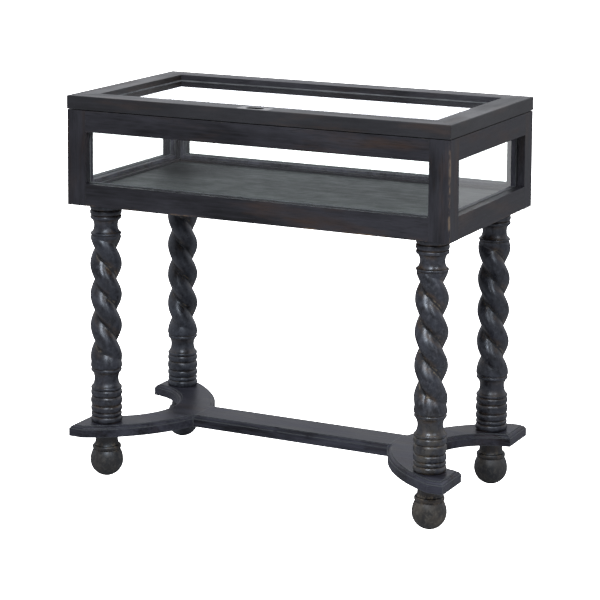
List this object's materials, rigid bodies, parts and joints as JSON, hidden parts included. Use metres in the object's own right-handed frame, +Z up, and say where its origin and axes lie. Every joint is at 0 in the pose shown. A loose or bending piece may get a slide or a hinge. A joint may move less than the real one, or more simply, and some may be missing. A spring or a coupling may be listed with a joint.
{
  "type": "glazed display table",
  "caption": "Floor-standing glazed display table: framed glass case with a hinged glass lid on twisted legs, joined by an H stretcher with crescent ends, on ball feet.",
  "frame": {"origin": "middle of the footprint on the floor, which is also the middle of the bounding box's base", "axes": "+X along the length, to the right seen from the front; +Y towards the hinged back; +Z up"},
  "size_m": [0.963, 0.516, 0.9185],
  "materials": {
    "case_wood": "near-black stained hardwood, worn satin",
    "lid_wood": "near-black stained hardwood, worn satin",
    "leg_wood": "near-black stained turned hardwood, satin",
    "stretcher_wood": "near-black stained hardwood, worn satin",
    "bead_wood": "near-black stained hardwood, satin",
    "hidden_wood": "plain sawn hardwood, unfinished",
    "dowel_wood": "plain beech, unfinished",
    "floor_board": "grey stained board, matt",
    "glass": "clear float glass",
    "felt": "black felt",
    "pull_metal": "brushed, slightly dulled",
    "hinge_brass": "aged",
    "pin_steel": "plain drawn",
    "bolt_steel": "zinc plated"
  },
  "bodies": {
    "table": {"leg_front_left": "leg_wood", "leg_front_right": "leg_wood", "leg_back_left": "leg_wood", "leg_back_right": "leg_wood", "foot_front_left": "leg_wood", "foot_front_right": "leg_wood", "foot_back_left": "leg_wood", "foot_back_right": "leg_wood", "stretcher_end_left": "stretcher_wood", "stretcher_end_right": "stretcher_wood", "stretcher_bar": "stretcher_wood", "stretcher_dowels": "dowel_wood", "foot_bolts": "bolt_steel", "leg_bolts": "bolt_steel", "tee_nuts": "bolt_steel", "post_front_left": "case_wood", "post_front_right": "case_wood", "post_back_left": "case_wood", "post_back_right": "case_wood", "rail_bottom_front": "case_wood", "rail_bottom_back": "case_wood", "rail_bottom_left": "case_wood", "rail_bottom_right": "case_wood", "rail_top_front": "case_wood", "rail_top_back": "case_wood", "rail_top_left": "case_wood", "rail_top_right": "case_wood", "rail_dowels": "dowel_wood", "corner_blocks": "hidden_wood", "floor_battens_long": "hidden_wood", "floor_battens_short": "hidden_wood", "batten_screws": "bolt_steel", "floor_panel": "floor_board", "pane_front": "glass", "pane_back": "glass", "pane_left": "glass", "pane_right": "glass", "beads_front": "bead_wood", "beads_back": "bead_wood", "beads_left": "bead_wood", "beads_right": "bead_wood", "lid_buffers": "felt", "hinge_leaf_case_left": "hinge_brass", "hinge_leaf_case_right": "hinge_brass", "hinge_pins": "pin_steel", "hinge_screws_case": "hinge_brass"},
    "lid": {"lid_rail_front": "lid_wood", "lid_rail_back": "lid_wood", "lid_rail_left": "lid_wood", "lid_rail_right": "lid_wood", "lid_splines": "dowel_wood", "lid_glass": "glass", "lid_beads": "bead_wood", "pull_plate": "pull_metal", "pull_screws": "pull_metal", "hinge_leaf_lid_left": "hinge_brass", "hinge_leaf_lid_right": "hinge_brass", "hinge_screws_lid": "hinge_brass"}
  },
  "joints": [
    {"name": "lid_hinge", "type": "hinge", "parent": "table", "child": "lid", "pos_m": [0, 0.2485, 0.88575], "axis": [-1, 0, 0], "range_deg": [0, 100]}
  ]
}
